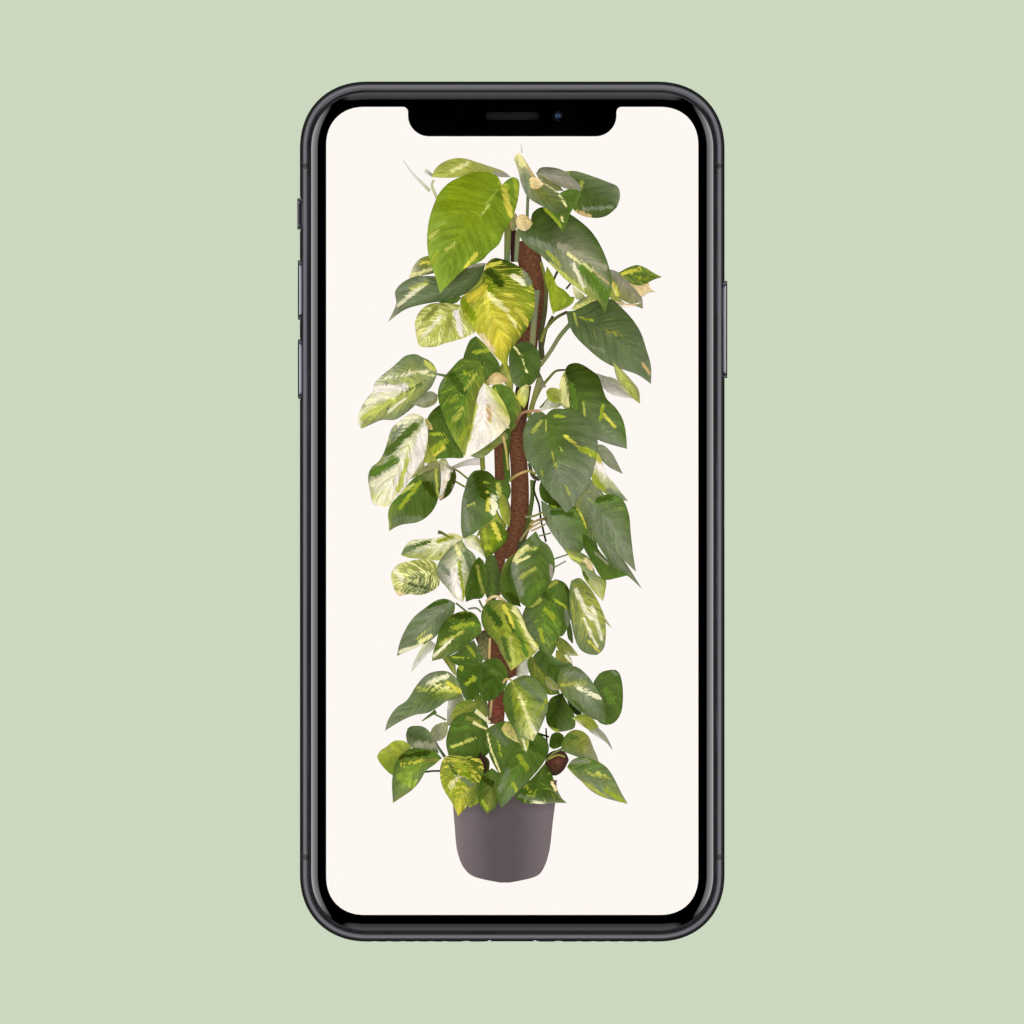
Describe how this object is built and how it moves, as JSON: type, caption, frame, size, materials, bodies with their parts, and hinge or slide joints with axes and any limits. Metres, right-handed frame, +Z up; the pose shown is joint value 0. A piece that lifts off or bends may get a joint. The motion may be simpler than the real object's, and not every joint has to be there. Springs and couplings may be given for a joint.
{
  "type": "smartphone",
  "caption": "Slim glass and metal smartphone with a notched edge-to-edge screen, sprung side buttons, a ring switch, a card tray and a charge port.",
  "frame": {"origin": "under the middle of the phone, level with the rear camera rim, the lowest point of its back", "axes": "+X across the phone towards the side button, +Y along it towards the notch, +Z up out of the screen"},
  "size_m": [0.0718, 0.1436, 0.0089],
  "materials": {
    "polished_steel": "polished, dark grey coating",
    "key_steel": "polished, dark grey coating",
    "bare_steel": "satin",
    "insert_plastic": "satin",
    "black_plastic": "matte",
    "black_seal": "matte",
    "black_ink": "printed ink",
    "clear_glass": "polished",
    "dark_glass": "polished glass over dark ink",
    "lens_glass": "polished",
    "lit_panel": "lit screen showing a house plant",
    "orange_paint": "satin",
    "milky_plastic": "satin",
    "battery_foil": "black wrapped foil pouch",
    "board_laminate": "circuit board with shields",
    "copper_wire": "wound copper"
  },
  "bodies": {
    "phone_body": {"chassis": "polished_steel", "antenna_insert_left_upper": "insert_plastic", "antenna_insert_left_lower": "insert_plastic", "antenna_insert_right_upper": "insert_plastic", "antenna_insert_right_lower": "insert_plastic", "cover_glass": "clear_glass", "front_gasket": "black_seal", "border_film": "black_ink", "screen_panel": "lit_panel", "screen_plate": "bare_steel", "back_glass": "dark_glass", "back_gasket": "black_seal", "earpiece_mesh": "bare_steel", "earpiece_module": "black_plastic", "front_camera": "lens_glass", "light_sensor": "black_plastic", "ring_switch_marker": "orange_paint", "card_reader": "bare_steel", "charge_port_shell": "bare_steel", "charge_port_tongue": "black_plastic", "bottom_screw_left": "bare_steel", "bottom_screw_right": "bare_steel", "rear_camera_rim": "key_steel", "rear_camera_window": "clear_glass", "rear_camera_deck": "black_plastic", "rear_lens_left": "lens_glass", "rear_lens_right": "lens_glass", "flash_lamp": "milky_plastic", "rear_camera_module": "black_plastic", "battery": "battery_foil", "logic_board": "board_laminate", "haptic_motor": "bare_steel", "loudspeaker": "black_plastic", "charging_coil": "copper_wire"},
    "volume_up": {"volume_up_button": "key_steel"},
    "volume_down": {"volume_down_button": "key_steel"},
    "side_key": {"side_button": "key_steel"},
    "ring_slider": {"ring_switch": "key_steel"},
    "tray": {"card_tray": "key_steel"}
  },
  "joints": [
    {"name": "volume_up_press", "type": "slide", "parent": "phone_body", "child": "volume_up", "axis": [1, 0, 0], "range_m": [0, 0.00025], "stiffness_N_per_m": 1000},
    {"name": "volume_down_press", "type": "slide", "parent": "phone_body", "child": "volume_down", "axis": [1, 0, 0], "range_m": [0, 0.00025], "stiffness_N_per_m": 1000},
    {"name": "side_button_press", "type": "slide", "parent": "phone_body", "child": "side_key", "axis": [-1, 0, 0], "range_m": [0, 0.0003], "stiffness_N_per_m": 1000},
    {"name": "ring_switch_slide", "type": "slide", "parent": "phone_body", "child": "ring_slider", "axis": [0, 0, -1], "range_m": [0, 0.001]},
    {"name": "card_tray_slide", "type": "slide", "parent": "phone_body", "child": "tray", "axis": [1, 0, 0], "range_m": [0, 0.014]}
  ]
}
